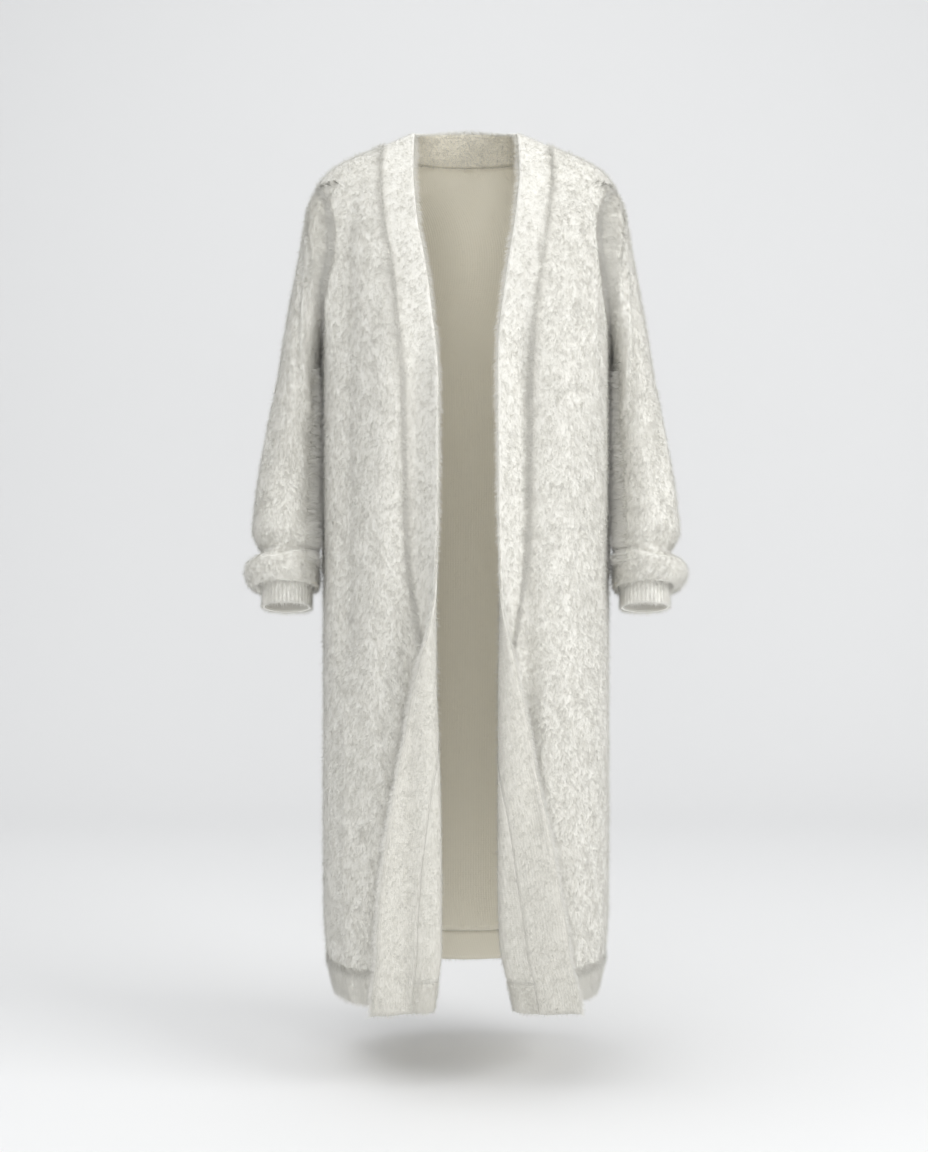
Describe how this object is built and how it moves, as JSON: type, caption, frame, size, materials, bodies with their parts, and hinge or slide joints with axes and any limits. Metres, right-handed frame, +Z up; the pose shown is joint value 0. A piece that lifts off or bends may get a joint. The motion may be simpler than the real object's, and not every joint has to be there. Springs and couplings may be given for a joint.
{
  "type": "long open-front cardigan",
  "caption": "Long furry-knit cardigan with an open front, turned-out front edges, a neck band, puffed sleeves with ribbed cuffs and a ribbed hem, hollow and filled out as if worn.",
  "frame": {"origin": "midway between the shoulders, at the height of the neck point, where the wearer carries the garment", "axes": "+Z up; the wearer faces -Y; +X is the wearer's left"},
  "size_m": [0.572, 0.3176, 1.1285],
  "materials": {
    "furry_knit": "brushed furry knit, matt with a soft sheen",
    "rib_knit": "ribbed knit with a light brushed pile"
  },
  "bodies": {
    "root": {"back": "furry_knit", "front_left": "furry_knit", "front_right": "furry_knit", "front_band": "furry_knit", "sleeve_left": "furry_knit", "sleeve_right": "furry_knit", "cuff_left": "rib_knit", "cuff_right": "rib_knit", "hem_rib_back": "rib_knit", "hem_rib_left": "rib_knit", "hem_rib_right": "rib_knit"}
  },
  "joints": []
}
